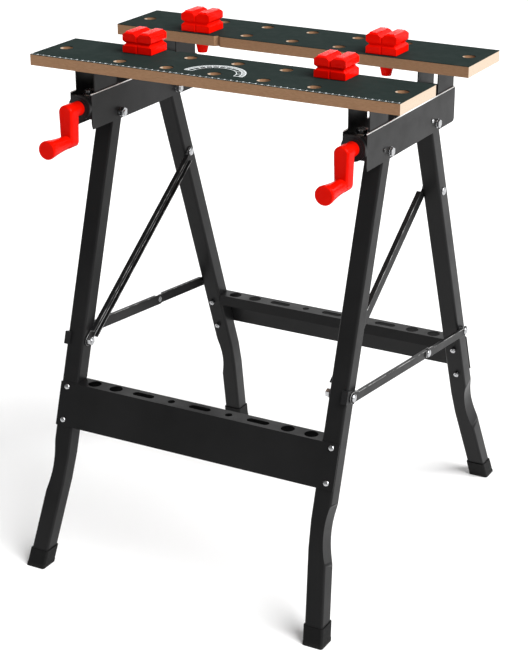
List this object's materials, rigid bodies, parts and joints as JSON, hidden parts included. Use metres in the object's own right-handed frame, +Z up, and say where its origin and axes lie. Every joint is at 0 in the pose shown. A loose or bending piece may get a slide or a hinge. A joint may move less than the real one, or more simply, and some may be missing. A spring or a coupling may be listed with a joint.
{
  "type": "folding sawhorse bench",
  "caption": "Folding steel sawhorse bench with two parallel clamping jaws, crank-driven lead screws, swivelling pegs, folding stays, tool trays and rubber feet.",
  "frame": {"origin": "on the floor under the middle of the whole bench", "axes": "+X along the jaws to the right, -Y towards the crank side, +Z up"},
  "size_m": [0.605, 0.6676, 0.8213],
  "materials": {
    "paint": "satin black paint",
    "zinc": "bright zinc plate",
    "red": "glossy red moulding",
    "black_plastic": "matt black moulding",
    "rubber": "black rubber",
    "board": "cut fibreboard edge",
    "laminate": "dark printed laminate"
  },
  "bodies": {
    "front_frame": {"front_leg_left": "paint", "front_leg_right": "paint", "front_foot_left": "rubber", "front_foot_right": "rubber", "front_tray": "paint", "front_tray_bolts": "zinc", "corner_guards": "black_plastic", "stay_bolts": "zinc"},
    "top_frame": {"channel_left": "paint", "channel_right": "paint", "front_pivot_bolts": "zinc", "rear_pivot_bolts": "zinc", "pivot_washers": "black_plastic", "stop_rivets": "zinc", "collar_left": "black_plastic", "collar_right": "black_plastic", "rear_riser_left": "paint", "rear_riser_right": "paint", "rear_riser_screws": "zinc", "rear_jaw_board": "board", "rear_jaw_laminate": "laminate"},
    "rear_frame": {"rear_leg_left": "paint", "rear_leg_right": "paint", "rear_foot_left": "rubber", "rear_foot_right": "rubber", "rear_tray": "paint", "rear_tray_bolts": "zinc", "strut_end_bolts": "zinc"},
    "front_jaw": {"front_riser_left": "paint", "front_riser_right": "paint", "front_riser_screws": "zinc", "front_jaw_board": "board", "front_jaw_laminate": "laminate", "barrel_nuts": "zinc"},
    "strut_left_body": {"strut_left": "paint", "strut_rivet_left": "zinc"},
    "stay_front_left_body": {"stay_front_left": "paint", "stay_mid_rivet_left": "zinc"},
    "stay_rear_left_body": {"stay_rear_left": "paint", "stay_end_rivet_left": "zinc"},
    "crank_left_body": {"crank_left": "red", "lead_screw_left": "zinc"},
    "peg_front_left_body": {"peg_front_left": "red"},
    "peg_rear_left_body": {"peg_rear_left": "red"},
    "strut_right_body": {"strut_right": "paint", "strut_rivet_right": "zinc"},
    "stay_front_right_body": {"stay_front_right": "paint", "stay_mid_rivet_right": "zinc"},
    "stay_rear_right_body": {"stay_rear_right": "paint", "stay_end_rivet_right": "zinc"},
    "crank_right_body": {"crank_right": "red", "lead_screw_right": "zinc"},
    "peg_front_right_body": {"peg_front_right": "red"},
    "peg_rear_right_body": {"peg_rear_right": "red"}
  },
  "joints": [
    {"name": "fold", "type": "hinge", "parent": "front_frame", "child": "top_frame", "pos_m": [0, -0.1043, 0.691], "axis": [1, 0, 0], "range_deg": [0, 42]},
    {"name": "rear_leg_fold", "type": "hinge", "parent": "top_frame", "child": "rear_frame", "pos_m": [0, 0.0617, 0.692], "axis": [1, 0, 0], "range_deg": [-75.2, 0]},
    {"name": "strut_left_fold", "type": "hinge", "parent": "front_frame", "child": "strut_left_body", "pos_m": [0, -0.2103, 0.35], "axis": [1, 0, 0], "range_deg": [0, 23.5]},
    {"name": "stay_front_left_fold", "type": "hinge", "parent": "front_frame", "child": "stay_front_left_body", "pos_m": [0, -0.2103, 0.35], "axis": [1, 0, 0], "range_deg": [0, 55]},
    {"name": "stay_rear_left_fold", "type": "hinge", "parent": "stay_front_left_body", "child": "stay_rear_left_body", "pos_m": [0, 0.0545, 0.3232], "axis": [1, 0, 0], "range_deg": [-152.5, 0]},
    {"name": "strut_right_fold", "type": "hinge", "parent": "front_frame", "child": "strut_right_body", "pos_m": [0, -0.2103, 0.35], "axis": [1, 0, 0], "range_deg": [0, 23.5]},
    {"name": "stay_front_right_fold", "type": "hinge", "parent": "front_frame", "child": "stay_front_right_body", "pos_m": [0, -0.2103, 0.35], "axis": [1, 0, 0], "range_deg": [0, 55]},
    {"name": "stay_rear_right_fold", "type": "hinge", "parent": "stay_front_right_body", "child": "stay_rear_right_body", "pos_m": [0, 0.0545, 0.3232], "axis": [1, 0, 0], "range_deg": [-152.5, 0]},
    {"name": "front_jaw_slide", "type": "slide", "parent": "top_frame", "child": "front_jaw", "axis": [0, 1, 0], "range_m": [0, 0.1175]},
    {"name": "crank_left_turn", "type": "hinge", "parent": "top_frame", "child": "crank_left_body", "pos_m": [-0.227, -0.22, 0.7137], "axis": [0, 1, 0], "range_deg": [0, 8462]},
    {"name": "crank_right_turn", "type": "hinge", "parent": "top_frame", "child": "crank_right_body", "pos_m": [0.227, -0.22, 0.7137], "axis": [0, 1, 0], "range_deg": [0, 8462]},
    {"name": "peg_front_left_swivel", "type": "hinge", "parent": "front_jaw", "child": "peg_front_left_body", "pos_m": [-0.16, -0.10705, 0.79], "axis": [0, 0, 1], "continuous": true},
    {"name": "peg_front_right_swivel", "type": "hinge", "parent": "front_jaw", "child": "peg_front_right_body", "pos_m": [0.16, -0.10705, 0.79], "axis": [0, 0, 1], "continuous": true},
    {"name": "peg_rear_left_swivel", "type": "hinge", "parent": "top_frame", "child": "peg_rear_left_body", "pos_m": [-0.16, 0.06245, 0.79], "axis": [0, 0, 1], "continuous": true},
    {"name": "peg_rear_right_swivel", "type": "hinge", "parent": "top_frame", "child": "peg_rear_right_body", "pos_m": [0.16, 0.06245, 0.79], "axis": [0, 0, 1], "continuous": true}
  ],
  "couplings": [
    {"joint": "rear_leg_fold", "follows": "fold", "ratio": -1.7849},
    {"joint": "strut_left_fold", "follows": "fold", "ratio": 0.5554},
    {"joint": "stay_front_left_fold", "follows": "fold", "ratio": 1.2991},
    {"joint": "stay_rear_left_fold", "follows": "fold", "ratio": -3.6207},
    {"joint": "strut_right_fold", "follows": "fold", "ratio": 0.5554},
    {"joint": "stay_front_right_fold", "follows": "fold", "ratio": 1.2991},
    {"joint": "stay_rear_right_fold", "follows": "fold", "ratio": -3.6207},
    {"joint": "crank_left_turn", "follows": "front_jaw_slide", "rad_per_m": 1256.6},
    {"joint": "crank_right_turn", "follows": "front_jaw_slide", "rad_per_m": 1256.6}
  ]
}
